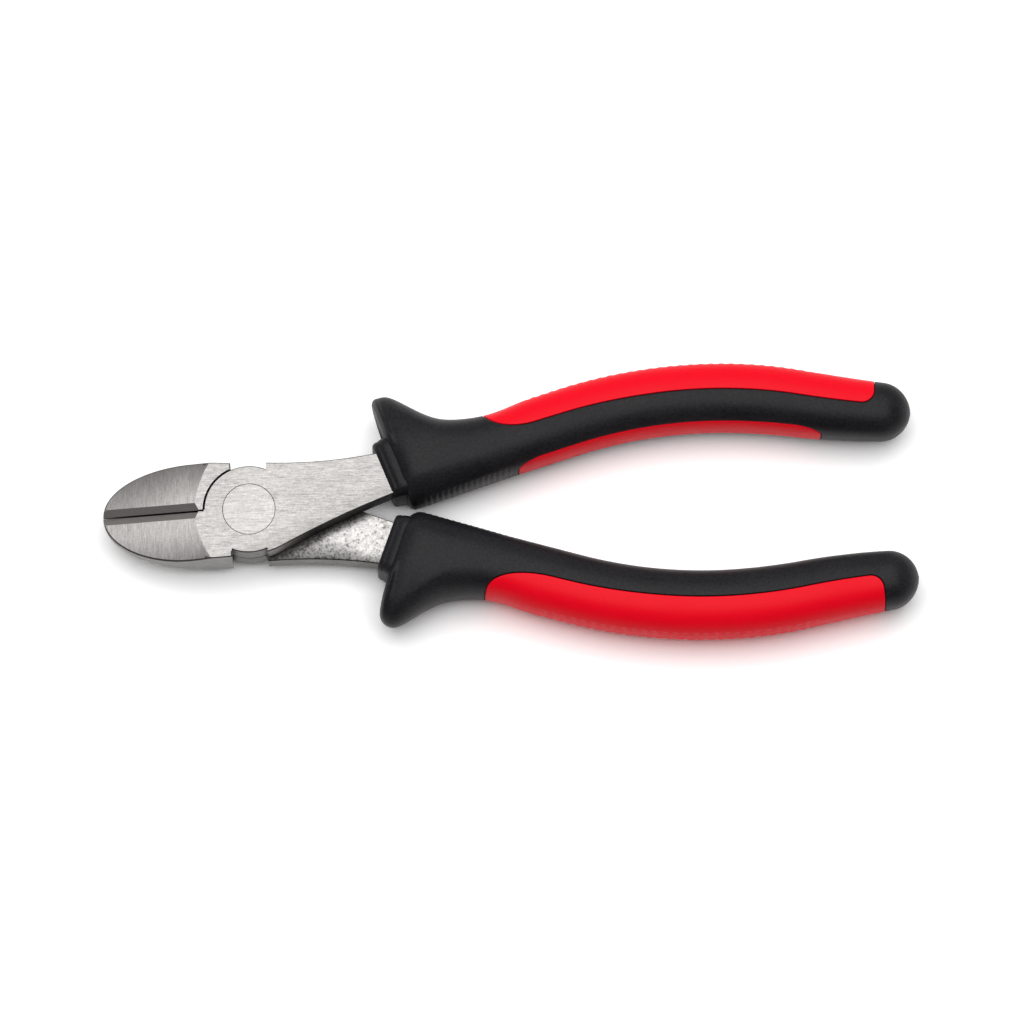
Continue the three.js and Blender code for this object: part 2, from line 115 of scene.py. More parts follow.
# Red pads, the grooves round them and the fine ribs
PAD_START = {"front": 22.3, "rear": 21.7}
PAD_FRONT_LENGTH = {"front": 9.0, "rear": 12.0}
PAD_FRONT_RISE, PAD_REAR = 5.66, 2.6
PAD_END, PAD_NEAR, PAD_DRIFT, PAD_DRIFT_SPAN = 98.9, 0.05, 0.45, (28.0, 56.0)
INSET_START, INSET_END, INSET_TAPER, INSET_ROUND = 25.6, 89.4, 5.5, 2.4
INSET_HALF = {"front": 3.65, "rear": 2.5}
LIP, GROOVE, POCKET_DEPTH, PAD_THICK = 0.16, 0.14, 0.9, 0.87
PAD_RIBS = dict(start=29.0, end=88.0, centre=math.radians(6), spread=math.radians(25), pitch=1.9, depth=0.16)
SHELL_RIBS = dict(start=4.6, end=25.5, centre=math.pi, spread=math.radians(26), pitch=1.2, depth=0.14)
RIB_SHARPNESS, RIB_FULL_SHARE = 1.5, 0.75

# Fineness of the meshes, in millimetres and in steps round or along a shape
OUTER_PITCH, OUTER_COLUMNS, INNER_PITCH, INNER_COLUMNS = 0.21, 81, 0.9, 31
SHELL_PITCH, SHELL_RIB_PITCH, SHELL_TAIL_PITCH = 1.0, 0.156, 0.5
OUTER_STEPS, BAND_STEPS, INNER_STEPS = 22, 28, 18
OUTER_PLAIN, INNER_PLAIN, PLAIN_EASE = math.radians(50), math.radians(145), 6.0
CORNER_STATIONS, GUARD_STATIONS, BORE_RINGS, LIP_STEPS = 17, 25, 40, 4
JAW_POINTS, BEND_POINTS, NECK_POINTS, BOSS_POINTS, BOSS_LONG_POINTS, HOLLOW_POINTS = 97, 9, 17, 25, 61, 41
TURNED_SEGMENTS, TANG_RINGS, TANG_CORNER_STEPS, FACE_CUT_STEPS = 128, 60, 4, (44, 30)
COLLAR_EDGE_RINGS, COLLAR_SIDE_RINGS, COLLAR_CORNER_STEPS = 9, 7, 12
STEP_ALONG, STEP_AROUND = 0.02, 0.002
SAME_STATION, CLOSE_STATION, PAST_FRONT = 1e-4, 2e-3, 1e-3
MERGE = 0.002


# Small helpers

def ease(x, a, b):
    t = np.clip((x - a) / (b - a), 0, 1)
    return t * t * (3 - 2 * t)


def unit(vectors):
    return vectors / np.maximum(np.linalg.norm(vectors, axis=-1, keepdims=True), 1e-9)


def turned_over(points):
    """The rear half is the front half turned over about the long axis."""
    return points * (1, -1, -1) + (0, 0, THICK)


def mesh_of(name, points, faces):
    mesh = bpy.data.meshes.new(name)
    mesh.from_pydata(np.asarray(points, float).tolist(), [], [list(map(int, face)) for face in faces])
    return mesh


def placed(name, data):
    thing = bpy.data.objects.new(name, data)
    bpy.context.scene.collection.objects.link(thing)
    return thing


# Handle axis and grip surface

def axis_at(s):
    straight = np.minimum(s, STRAIGHT)
    x = AXIS_X + straight * math.cos(SPLAY)
    y = AXIS_Y + straight * math.sin(SPLAY)
    k = -BOW_TURN / BOW
    bowed = SPLAY + k * np.clip(s - STRAIGHT, 0, BOW)
    x = x + (np.sin(bowed) - math.sin(SPLAY)) / k
    y = y - (np.cos(bowed) - math.cos(SPLAY)) / k
    k = TAIL_TURN / TAIL
    heading = bowed + k * np.clip(s - STRAIGHT - BOW, 0, None)
    x = x + (np.sin(heading) - np.sin(bowed)) / k
    y = y - (np.cos(heading) - np.cos(bowed)) / k
    return x, y, heading


def beside_axis(s, v, z):
    """Points s along the axis, v outward from it and z above the middle of the tool."""
    x, y, heading = axis_at(s)
    parts = np.broadcast_arrays(x - v * np.sin(heading), y + v * np.cos(heading), z + HALF)
    return np.stack(parts, axis=-1)


def guard_flare(s, half):
    """Rise of the finger guard, with a slight waist behind it."""
    past = s - SHELL_FRONT - GUARD_FLAT[half]
    behind = (past + np.sqrt(past ** 2 + GUARD_CROWN ** 2)) / (2 * GUARD_LENGTH[half])
    guard = GUARD_RISE[half] * np.exp(-behind ** GUARD_SHARPNESS[half])
    waist = np.clip(np.abs(s - WAIST_AT) / WAIST_LENGTH * 2, 0, 1)
    return guard - WAIST * np.cos(waist * math.pi / 2) ** 2


def grip_sizes(s, half):
    """Half sizes of the section: outer side, inner side, thickness, and the guard's rise."""
    body = ease(s, SHELL_FRONT, SHELL_FRONT + MOUTH_EASE)
    past = np.clip(s - (LENGTH - TAIL_TAPER_LENGTH), 0, None) / TAIL_TAPER_LENGTH
    taper = TAIL_TAPER * past * past
    flare = guard_flare(s, half)
    side = GRIP_HALF_WIDTH - taper + np.minimum(flare, 0)
    inner = MOUTH_HALF_WIDTH + (GRIP_HALF_WIDTH - taper - MOUTH_HALF_WIDTH) * body
    deep = MOUTH_HALF_THICK + (GRIP_HALF_THICK - MOUTH_HALF_THICK) * body - taper
    return side, inner, deep, np.maximum(flare, 0)


def grip_skin(s, theta, half, inset=0.0):
    """Points of the grip's outside; theta is 0 on the outer side and a quarter turn on top."""
    s, theta, inset = np.broadcast_arrays(s, theta, inset)
    side, inner, deep, flare = grip_sizes(s, half)
    c, q = np.cos(theta), np.sin(theta)
    around = np.arccos(np.clip(c, -1, 1))
    reach = np.where(c >= 0, side, inner) - inset
    power = 2 / (GUARD_SECTION_POWER + (SECTION_POWER - GUARD_SECTION_POWER) * ease(s, *SECTION_CHANGE))
    v = np.sign(c) * reach * np.abs(c) ** power + flare * (1 - ease(around, *GUARD_SPREAD))
    slope = np.clip(1 - (s - SHELL_FRONT) / GUARD_SLOPE_LENGTH, 0, 1)
    drop = np.maximum(inset * (s > LENGTH / 2), GUARD_SLOPE_DEPTH * (1 - np.sqrt(1 - slope * slope)))
    lip = GUARD_LIP * np.exp(-((s - SHELL_FRONT - GUARD_LIP_AT) / GUARD_LIP_WIDTH) ** 2)
    lip = lip * ease(v, *GUARD_LIP_REACH)
    risen = np.clip(flare / GUARD_THINNING_RISE, 0, 1)
    thin = 1 - GUARD_THINNING * ease(v, *GUARD_THINNING_REACH) * risen
    z = (deep - drop + lip) * thin * np.sign(q) * np.abs(q) ** power
    lean = GUARD_LEAN[half] * ease(v, *GUARD_LEAN_REACH)
    return beside_axis(s - lean * (1 - ease(s, SHELL_FRONT, SHELL_FRONT + GUARD_LEAN_LENGTH)), v, z)


def skin_normals(s, theta, half, inset=0.0):
    """Outward normals, from small steps along and around the grip."""
    along = grip_skin(s + STEP_ALONG, theta, half, inset) - grip_skin(s - STEP_ALONG, theta, half, inset)
    around = grip_skin(s, theta + STEP_AROUND, half, inset) - grip_skin(s, theta - STEP_AROUND, half, inset)
    return unit(np.cross(around, along))


def sunk_skin(s, theta, half, depth):
    return grip_skin(s[:, None], theta, half) - skin_normals(s[:, None], theta, half) * depth


def ribs(s, theta, start, end, centre, spread, pitch, depth):
    """Shallow valleys across the grip that fade out all round."""
    wave = 0.5 - 0.5 * np.cos(2 * np.pi * (s - start) / pitch)
    around = np.abs((theta - centre + np.pi) % (2 * np.pi) - np.pi)
    fade = ease(s, start, start + 2 * pitch) * (1 - ease(s, end - 2 * pitch, end))
    fade = fade * (1 - ease(around, spread * RIB_FULL_SHARE, spread))
    return -depth * fade * wave ** RIB_SHARPNESS


# Edges and stations of the pads

def corner_rise(gap, length, rise):
    """How far a rounded corner stands off its straight edge."""
    short = np.clip(1 - gap / length, 0, 1)
    return rise * (1 - np.sqrt(1 - short ** 2))


def outer_edge(s, grow, half):
    """Angle of the edge between the outer red pad and the black band."""
    front = corner_rise(s - PAD_START[half] + grow, PAD_FRONT_LENGTH[half] + grow, PAD_FRONT_RISE + grow)
    rear = corner_rise(PAD_END + grow - s, PAD_REAR + grow, PAD_REAR + grow)
    v = PAD_NEAR + PAD_DRIFT * (1 - ease(s, *PAD_DRIFT_SPAN)) - grow + np.maximum(front, rear)
    side, inner, _, _ = grip_sizes(s, half)
    outward = np.arccos(np.clip(np.abs(v) / np.where(v >= 0, side, inner), 0, 1) ** (SECTION_POWER / 2))
    return np.where(v >= 0, outward, np.pi - outward)


def inner_edge(s, grow, half):
    """Angle of the upper edge of the inner red pad."""
    taper, corner = INSET_TAPER + grow, INSET_ROUND + grow
    rise = np.maximum(corner_rise(s - INSET_START + grow, taper, corner),
                      corner_rise(INSET_END + grow - s, taper, corner))
    deep = grip_sizes(s, half)[2]
    return np.pi - np.arcsin(((INSET_HALF[half] + grow - rise) / deep) ** (SECTION_POWER / 2))


def end_clustered(start, end, front, rear, pitch):
    """Stations along the axis, closer together in the rounded corners."""
    angle = np.linspace(0, math.pi / 2, CORNER_STATIONS)
    head = start + front * (1 - np.cos(angle))
    tail = end - rear * (1 - np.cos(angle[::-1]))
    count = max(2, int(math.ceil((tail[0] - head[-1]) / pitch)))
    middle = np.linspace(head[-1], tail[0], count + 1)[1:-1]
    return np.concatenate([head, middle, tail])


def outer_stations(grow, pitch, half):
    front, rear = PAD_FRONT_LENGTH[half] + grow, PAD_REAR + grow
    return end_clustered(PAD_START[half] - grow, PAD_END + grow, front, rear, pitch)


def inner_stations(grow, pitch, half):
    taper = INSET_TAPER + grow
    return end_clustered(INSET_START - grow, INSET_END + grow, taper, taper, pitch)


def outer_angles(s, grow, half, columns):
    return outer_edge(s, grow, half)[:, None] * np.linspace(-1, 1, columns)


def inner_angles(s, grow, half, columns):
    edge = inner_edge(s, grow, half)[:, None]
    return edge + (2 * np.pi - 2 * edge) * np.linspace(0, 1, columns)


# Joining grids, loops and rings

def border(index):
    """Vertex numbers once around a grid."""
    return list(index[0, :]) + list(index[1:, -1]) + list(index[-1, -2::-1]) + list(index[-2:0:-1, 0])


def grid_faces(index):
    rows, columns = index.shape
    return [[index[i, j], index[i, j + 1], index[i + 1, j + 1], index[i + 1, j]]
            for i in range(rows - 1) for j in range(columns - 1)]


def ring_faces(index):
    """Faces between closed rings of vertex numbers."""
    return grid_faces(np.column_stack([index, index[:, 0]]))


def tube_faces(rings, count):
    """Faces of a tube made of rings of as many points, with a flat end at both ends."""
    index = np.arange(rings * count).reshape(rings, count)
    return ring_faces(index) + [index[0, ::-1], index[-1]]


def rim(loop, normals, towards):
    """Rings of a rounded lip from a closed loop down into a groove on one side of it."""
    tangent = np.roll(loop, -1, axis=0) - np.roll(loop, 1, axis=0)
    across = unit(np.cross(normals, tangent) * towards)
    rings = []
    for i in range(1, LIP_STEPS + 1):
        angle = i / LIP_STEPS * math.pi / 2
        rings.append(loop + across * LIP * math.sin(angle) - normals * LIP * (1 - math.cos(angle)))
    return rings


def stitch(points, faces, loop, rings, flip):
    """Joins rings of new points to the loop in order and returns the last one."""
    base = sum(len(p) for p in points)
    added = base + np.arange(len(rings) * len(loop)).reshape(len(rings), -1)
    points += rings
    quads = ring_faces(np.vstack([loop, added]))
    faces += [quad[::-1] for quad in quads] if flip else quads
    return added[-1]


def cover(points, faces, loop, grid, flip):
    """Joins a loop to the border of a grid with as many points and fills the grid."""
    rows, columns = grid.shape[:2]
    index = sum(len(p) for p in points) + np.arange(rows * columns).reshape(rows, columns)
    points.append(grid.reshape(-1, 3))
    edge = border(index)
    quads = [[loop[k - 1], loop[k], edge[k], edge[k - 1]] for k in range(len(loop))] + grid_faces(index)
    faces += [quad[::-1] for quad in quads] if flip else quads


def close(points, faces, ring, along, flip):
    """Closes a ring with a fan to a point on the handle axis."""
    end = sum(len(p) for p in points)
    points.append(beside_axis(np.array([along]), 0.0, 0.0))
    for k, first in enumerate(ring):
        second = ring[(k + 1) % len(ring)]
        faces.append([second, first, end] if flip else [first, second, end])


# Grip pieces

def pad_mesh(half, stations, angles, pitch, columns, relief):
    """Closed pad: its face with the relief, a rounded lip, a plain wall and the back."""
    s, back_s = stations(-LIP, pitch, half), stations(0.0, pitch, half)
    theta, back_theta = angles(s, -LIP, half, columns), angles(back_s, 0.0, half, columns)
    points = grip_skin(s[:, None], theta, half)
    normals = skin_normals(s[:, None], theta, half)
    if relief:
        points = points + normals * ribs(s[:, None], theta, **relief)[..., None]
    index = np.arange(theta.size).reshape(theta.shape)
    faces = grid_faces(index)
    loop = border(index)
    parts = [points.reshape(-1, 3)]
    rings = rim(parts[0][loop], normals.reshape(-1, 3)[loop], -1)
    lip = stitch(parts, faces, loop, rings, True)
    cover(parts, faces, lip, sunk_skin(back_s, back_theta, half, PAD_THICK), True)
    return np.concatenate(parts), faces


def shell_stations(half, outer_s, inner_s):
    """Stations along the shell with its rounded ends, and the inset at each."""
    turn = np.linspace(0, math.pi / 2, GUARD_STATIONS)
    front_s = SHELL_FRONT + GUARD_ROUND[half] * (1 - np.cos(turn))
    front_inset = GUARD_ROUND[half] * (1 - np.sin(turn))
    turn = turn[2::2]
    tail_start = LENGTH - TAIL_ROUND
    tail_s = tail_start + TAIL_ROUND * np.sin(turn)
    tail_inset = TAIL_ROUND * (1 - np.cos(turn))
    ribbed = np.arange(SHELL_FRONT + GUARD_ROUND[half], SHELL_RIBS["end"], SHELL_RIB_PITCH)
    behind = np.arange(outer_s[-1], tail_start, SHELL_TAIL_PITCH)
    middle = np.concatenate([ribbed, outer_s, inner_s, behind, [tail_start]])
    middle = np.unique(np.round(middle[middle > front_s[-1] + PAST_FRONT], 5))
    keep = np.concatenate([[True], np.diff(middle) > CLOSE_STATION])
    for edge in (outer_s[0], outer_s[-1], inner_s[0], inner_s[-1]):
        keep |= np.abs(middle - edge) < SAME_STATION
    middle = middle[keep]
    s = np.concatenate([front_s, middle, tail_s])
    return s, np.concatenate([front_inset, np.zeros(len(middle)), tail_inset])


def shell_angles(s, outer_s, inner_s, grow, half):
    """Angles round the shell at each station, above and then below."""
    edges = []
    for edge, stations, plain in ((outer_edge, outer_s, OUTER_PLAIN), (inner_edge, inner_s, INNER_PLAIN)):
        angle = edge(np.clip(s, stations[0], stations[-1]), grow, half)
        gone = np.maximum(stations[0] - s, s - stations[-1])
        edges.append((angle + (plain - angle) * ease(gone, 0.0, PLAIN_EASE))[:, None])
    outer, inner = edges
    upper = np.concatenate([outer * np.linspace(0, 1, OUTER_STEPS + 1),
                            outer + (inner - outer) * np.linspace(0, 1, BAND_STEPS + 1)[1:],
                            inner + (np.pi - inner) * np.linspace(0, 1, INNER_STEPS + 1)[1:]], axis=1)
    return np.concatenate([upper, 2 * np.pi - upper[:, -2:0:-1]], axis=1)


def mouth_rings(front, theta):
    """Rings from the shell's front into the collar's pocket and down the tang's bore."""
    c, q = np.cos(theta), np.sin(theta)
    across = np.sign(c) * np.abs(c) ** MOUTH_SQUARENESS
    deep = np.sign(q) * np.abs(q) ** MOUTH_SQUARENESS
    pocket_v = across * np.where(c >= 0, COLLAR_OUTER, COLLAR_INNER) * MOUTH_SHARE
    pocket_z = deep * COLLAR_DEEP * MOUTH_SHARE
    hidden = beside_axis(SHELL_FRONT, pocket_v, pocket_z)
    rings = [front + (hidden - front) * share for share in MOUTH_STEPS]
    rings.append(beside_axis(COLLAR_POCKET, pocket_v, pocket_z))
    for along in np.linspace(COLLAR_POCKET, BORE_END, BORE_RINGS):
        wider = 1 - ease(along, 0.0, BORE_EASE)
        bore_v = BORE + np.where(c >= 0, BORE_OUTER, BORE_INNER) * wider
        rings.append(beside_axis(along, across * bore_v, deep * (BORE + BORE_DEEP * wider)))
    return rings


def shell_mesh(half):
    """Closed black shell: ribbed outside, pockets for both pads, mouth, bore and rounded tail."""
    grow = GROOVE + LIP
    outer_s, inner_s = outer_stations(grow, SHELL_PITCH, half), inner_stations(grow, SHELL_PITCH, half)
    s, inset = shell_stations(half, outer_s, inner_s)
    theta = shell_angles(s, outer_s, inner_s, grow, half)
    points = grip_skin(s[:, None], theta, half, inset[:, None])
    normals = skin_normals(s[:, None], theta, half, inset[:, None])
    points = points + normals * ribs(s[:, None], theta, **SHELL_RIBS)[..., None]
    rows, columns = theta.shape
    index = np.arange(rows * columns).reshape(rows, columns)
    band_end = OUTER_STEPS + BAND_STEPS
    windows = [(outer_s, np.arange(-OUTER_STEPS, OUTER_STEPS + 1) % columns, outer_angles),
               (inner_s, np.arange(band_end, columns - band_end + 1), inner_angles)]
    open_faces = np.zeros((rows, columns), bool)
    pockets = []
    for stations, window, angles in windows:
        low, high = np.argmin(np.abs(s - stations[0])), np.argmin(np.abs(s - stations[-1]))
        open_faces[low:high, window[:-1]] = True
        pockets.append((low, high, window, angles))
    faces = [face for face, opened in zip(ring_faces(index), open_faces.ravel()) if not opened]
    parts = [points.reshape(-1, 3)]
    for low, high, window, angles in pockets:
        loop = border(index[low:high + 1][:, window])
        rings = rim(parts[0][loop], normals.reshape(-1, 3)[loop], 1)
        lip = stitch(parts, faces, loop, rings, False)
        length = s[high] - s[low]
        floor_s = s[low] + LIP + (s[low:high + 1] - s[low]) * (length - 2 * LIP) / length
        floor_theta = angles(floor_s, GROOVE, half, len(window))
        cover(parts, faces, lip, sunk_skin(floor_s, floor_theta, half, POCKET_DEPTH), False)
    bore = stitch(parts, faces, index[0], mouth_rings(parts[0][index[0]], theta[0]), True)
    close(parts, faces, bore, BORE_END, True)
    close(parts, faces, index[-1], LENGTH, False)
    return np.concatenate(parts), faces


def rounded_ring(out, inner, deep, radius, steps):
    """Rounded rectangle across the handle axis."""
    ring = []
    for corner, (v, z) in enumerate(((out, deep), (-inner, deep), (-inner, -deep), (out, -deep))):
        for i in range(steps + 1):
            angle = (corner + i / steps) * math.pi / 2
            ring.append((v - math.copysign(radius, v) + radius * math.cos(angle),
                         z - math.copysign(radius, z) + radius * math.sin(angle)))
    return np.array(ring).T


def collar_mesh(half):
    """The core's collar at the mouth of the grip: a rounded step set slightly askew."""
    rings = []
    for angle in np.linspace(0, math.pi / 2, COLLAR_EDGE_RINGS):
        cut = COLLAR_EDGE * (1 - math.sin(angle)) + COLLAR_TAPER
        rings.append((COLLAR_EDGE * (1 - math.cos(angle)), cut))
    for t in np.linspace(0, 1, COLLAR_SIDE_RINGS)[1:]:
        rings.append((COLLAR_EDGE + (COLLAR_LENGTH - COLLAR_EDGE) * t, COLLAR_TAPER * (1 - t) ** 2))
    for cut in (0.0, COLLAR_BACK_CUT):
        rings.append((COLLAR_LENGTH + COLLAR_HIDDEN, cut))
    points = []
    for s, cut in rings:
        v, z = rounded_ring(COLLAR_OUTER - cut * OUTER_CUT, COLLAR_INNER - cut * INNER_CUT, COLLAR_DEEP - cut,
                            COLLAR_CORNER - cut * CORNER_CUT, COLLAR_CORNER_STEPS)
        points.append(beside_axis(s + COLLAR_SHIFT[half] - COLLAR_SKEW * v, v, z))
    return np.concatenate(points), tube_faces(len(rings), len(points[0]))


# Outlines and faces of the steel

def arc_points(radius, start, end, count):
    return [(radius * math.cos(a), radius * math.sin(a)) for a in np.linspace(start, end, count)]


def bent_line(start, control, end, count):
    """Points of a curve drawn toward its control point."""
    return [tuple((1 - t) ** 2 * start + 2 * t * (1 - t) * control + t * t * end)
            for t in np.linspace(0, 1, count)]


def jaw_curve():
    """Outer curve of the jaw from its tip to its end beside the notch."""
    edge = -TIP_GAP / 2
    points = []
    for a in np.linspace(math.pi, 1.5 * math.pi, JAW_POINTS):
        x = -JAW_BELLY + (JAW_LENGTH - JAW_BELLY) * math.cos(a)
        points.append((x, edge + (JAW_HALF_WIDTH + edge) * math.sin(a)))
    for t in np.linspace(0, 1, BEND_POINTS)[1:]:
        x = -JAW_BELLY + (JAW_BELLY - NOTCH) * t
        points.append((x, -JAW_HALF_WIDTH + (JAW_HALF_WIDTH - JAW_END) * t * t))
    return points


def neck_edges():
    """The neck's edges in plan: the inner one from its shoulder to the collar, the outer one back again."""
    inner = beside_axis(NECK_END, -NECK_INNER, 0)[:2]
    outer = beside_axis(NECK_END, NECK_OUTER, 0)[:2]
    bend = np.array([BEND_X, -BEND_Y])
    corner = np.array([NOTCH, -SHOULDER_INNER])
    shoulder = bent_line(corner, np.array(SHOULDER_LEAD), bend, BEND_POINTS)
    run = inner - bend
    bow = np.array([-run[1], run[0]]) / np.linalg.norm(run) * NECK_BOW
    side = [tuple(bend + run * t + bow * 4 * t * (1 - t)) for t in np.linspace(0, 1, NECK_POINTS)[1:]]
    control = np.array([(NOTCH + outer[0]) / 2, SHOULDER_INNER])
    back = bent_line(outer, control, np.array([NOTCH, SHOULDER_OUTER]), BOSS_POINTS)
    return shoulder + side, back


def boss_low_arc():
    return arc_points(BOSS, 1.5 * math.pi - NOTCH_ANGLE, 1.5 * math.pi + NOTCH_ANGLE, BOSS_POINTS)


def upper_outline():
    """Plan of the lever's own layer: jaw, boss, shoulders and neck."""
    edge = -EDGE_GAP / 2
    points = jaw_curve() + boss_low_arc()
    for path in neck_edges():
        points += path
    points += arc_points(BOSS, math.pi / 2 - NOTCH_ANGLE, math.pi + math.asin(-edge / BOSS), BOSS_LONG_POINTS)
    points.append((-JAW_LENGTH + TIP_TAPER, edge))
    return points


def lower_outline():
    """Plan of the jaw in the other lever's layer, hollowed for its boss."""
    edge = -EDGE_GAP / 2
    hollow = BOSS + BOSS_CLEARANCE
    side = math.asin(NOTCH / hollow)
    points = jaw_curve()
    points += arc_points(hollow, 1.5 * math.pi - side, math.pi + math.asin(-edge / hollow), HOLLOW_POINTS)
    points.append((-JAW_LENGTH + TIP_TAPER, edge))
    return points


def jaw_face(x, y):
    """Height of the jaw's ground face, falling to the tip and gently outward."""
    out = np.abs(y)
    start = -FACE_START + FACE_SWEEP * (np.minimum(out, FACE_SWEEP_LIMIT) / JAW_HALF_WIDTH) ** 2
    run = start - x
    inside = np.clip(run, 0, None)
    return THICK - FACE_SLOPE * run - FACE_CROWN * out ** 2 * inside / (inside + FACE_CROWN_EASE)


def bevel_face(x, y):
    out = (np.abs(y) - EDGE_GAP / 2) / BEVEL_WIDTH
    return jaw_face(x, np.full_like(x, BEVEL_RIM)) - BEVEL_DEPTH * (1 - out)


def flat_face(x, y):
    return np.full_like(x, THICK)


def jaw_top(x, y):
    return np.minimum(jaw_face(x, y), THICK)


# Working bodies of the steel

CLEAR = 3.0
BLOCK_TOP = THICK + 4.0
JAW_OVERLAP = 0.5
FACE_CUT_OUTER_X, FACE_CUT_INNER_X, FACE_CUT_INNER_Y = -5.0, -8.6, 0.6
NOTCH_STOP, BOSS_STOP = 0.4, 0.03
LONG_RUN, SHORT_RUN, NO_RUN = 0.4, 0.1, 0.01


def prism(outline, low, high):
    points = np.array([(x, y, z) for z in (low, high) for x, y in outline])
    index = np.arange(len(points)).reshape(2, -1)
    return points, [index[0, ::-1], index[1]] + ring_faces(index)


def block_above(corners, columns, rows, underside):
    """Block over a four-sided plan whose underside follows a height function."""
    u, w = np.meshgrid(np.linspace(0, 1, columns + 1), np.linspace(0, 1, rows + 1), indexing="ij")
    corners = np.array(corners, float)
    plan = ((1 - u) * (1 - w))[..., None] * corners[0] + (u * (1 - w))[..., None] * corners[1]
    plan = plan + (u * w)[..., None] * corners[2] + ((1 - u) * w)[..., None] * corners[3]
    low = np.concatenate([plan, underside(plan[..., 0], plan[..., 1])[..., None]], axis=-1)
    count = low.shape[0] * low.shape[1]
    index = np.arange(count).reshape(low.shape[:2])
    loop = border(index.T)
    top = count + np.arange(len(loop))
    low = low.reshape(-1, 3)
    high = low[loop] * (1, 1, 0) + (0, 0, BLOCK_TOP)
    faces = grid_faces(index) + ring_faces(np.vstack([loop, top])) + [top]
    return np.concatenate([low, high]), faces


def mirrored_in_thickness(points, faces, rise=0.0):
    points = points * (1, 1, -1) + (0, 0, THICK + rise)
    return points, [list(face)[::-1] for face in faces]


def lathe(profile):
    """Closed body about the rivet axis from points (radius, height) that start and end on the axis."""
    count = TURNED_SEGMENTS
    turns = [2 * math.pi * k / count for k in range(count)]
    points = [(0, 0, profile[0][1])]
    for radius, z in profile[1:-1]:
        points += [(radius * math.cos(a), radius * math.sin(a), z) for a in turns]
    points.append((0, 0, profile[-1][1]))
    rings = len(profile) - 2
    last = len(points) - 1
    faces = []
    for k in range(count):
        n = (k + 1) % count
        faces.append([0, 1 + n, 1 + k])
        for r in range(rings - 1):
            a, b = 1 + r * count, 1 + (r + 1) * count
            faces.append([a + k, a + n, b + n, b + k])
        base = 1 + (rings - 1) * count
        faces.append([base + k, base + n, last])
    return np.array(points, float), faces


def tang_mesh():
    """Tang of the lever inside the grip, from the collar to near the tail."""
    points = []
    for s in np.linspace(TANG_START, TANG_END, TANG_RINGS):
        grown = ease(s, 0, TANG_EASE)
        slim = TANG_SLIM * ease(s, TANG_SLIM_START, TANG_END)
        out = NECK_OUTER + (TANG_HALF - NECK_OUTER) * grown - slim
        inner = NECK_INNER + (TANG_HALF - NECK_INNER) * grown - slim
        top = HALF - TANG_CLEARANCE - TANG_TOP_DROP * grown - slim
        bottom = NECK_DROP + TANG_BOTTOM_GROWTH * grown - slim
        v, z = rounded_ring(out, inner, (top + bottom) / 2, TANG_CORNER, TANG_CORNER_STEPS)
        points.append(beside_axis(np.full(len(v), s), v, z + (top - bottom) / 2))
    return np.concatenate(points), tube_faces(len(points), len(points[0]))


def raw_object(points, faces):
    """Working body in millimetres, for joining and cutting."""
    mesh = mesh_of("work", points, faces)
    work = bmesh.new()
    work.from_mesh(mesh)
    bmesh.ops.recalc_face_normals(work, faces=work.faces)
    work.to_mesh(mesh)
    work.free()
    return placed("work", mesh)


def combine(body, points, faces, operation):
    """Joins a working body to another or cuts it away."""
    tool = raw_object(points, faces)
    modifier = body.modifiers.new("cut", "BOOLEAN")
    modifier.operation = operation
    modifier.solver = "EXACT"
    modifier.object = tool
    result = bpy.data.meshes.new_from_object(body.evaluated_get(bpy.context.evaluated_depsgraph_get()))
    body.modifiers.clear()
    old, spent = body.data, tool.data
    body.data = result
    bpy.data.meshes.remove(old)
    bpy.data.objects.remove(tool)
    bpy.data.meshes.remove(spent)


def edge_strip(path, surface, before, after):
    """Three-sided strip that cuts a chamfer along an edge of a body to the left of the path."""
    path = np.array(path, float)
    along = np.gradient(path, axis=0)
    along /= np.linalg.norm(along, axis=1, keepdims=True)
    path = np.concatenate([[path[0] - along[0] * before], path, [path[-1] + along[-1] * after]])
    along = np.concatenate([along[:1], along, along[-1:]])
    out = np.stack([along[:, 1], -along[:, 0]], axis=1)
    height = surface(path[:, 0], path[:, 1])
    rings = []
    for beside, rise in ((CHAMFER, -2 * CHAMFER), (CHAMFER, CHAMFER), (-2 * CHAMFER, CHAMFER)):
        rings.append(np.column_stack([path + out * beside, height + rise]))
    count = len(path)
    faces = [[0, count, 2 * count], [3 * count - 1, 2 * count - 1, count - 1]]
    for k in range(count - 1):
        for ring in range(3):
            a, b = ring * count + k, (ring + 1) % 3 * count + k
            faces.append([a, a + 1, b + 1, b])
    return np.concatenate(rings), faces


def chamfers():
    """Strips for the edges of the jaw, the notch, the boss and the neck."""
    neck_inner, neck_outer = neck_edges()
    jaw = jaw_curve()
    notch = np.linspace(jaw[-1], (jaw[-1][0], -BOSS + NOTCH_STOP), BEND_POINTS)
    boss_left = arc_points(BOSS, math.pi / 2 - NOTCH_ANGLE, math.pi - BOSS_STOP, BOSS_LONG_POINTS)
    strips = [edge_strip(jaw, jaw_top, LONG_RUN, LONG_RUN),
              edge_strip(notch, flat_face, LONG_RUN, NO_RUN),
              edge_strip(boss_low_arc(), flat_face, NO_RUN, NO_RUN),
              edge_strip(boss_left, flat_face, NO_RUN, SHORT_RUN)]
    neck = [edge_strip(path, flat_face, LONG_RUN, LONG_RUN) for path in (neck_inner, neck_outer)]
    under_jaw = [mirrored_in_thickness(*strip) for strip in strips[:2]]
    under_neck = [mirrored_in_thickness(*strip, LAP) for strip in neck]
    return strips + neck + under_jaw + under_neck


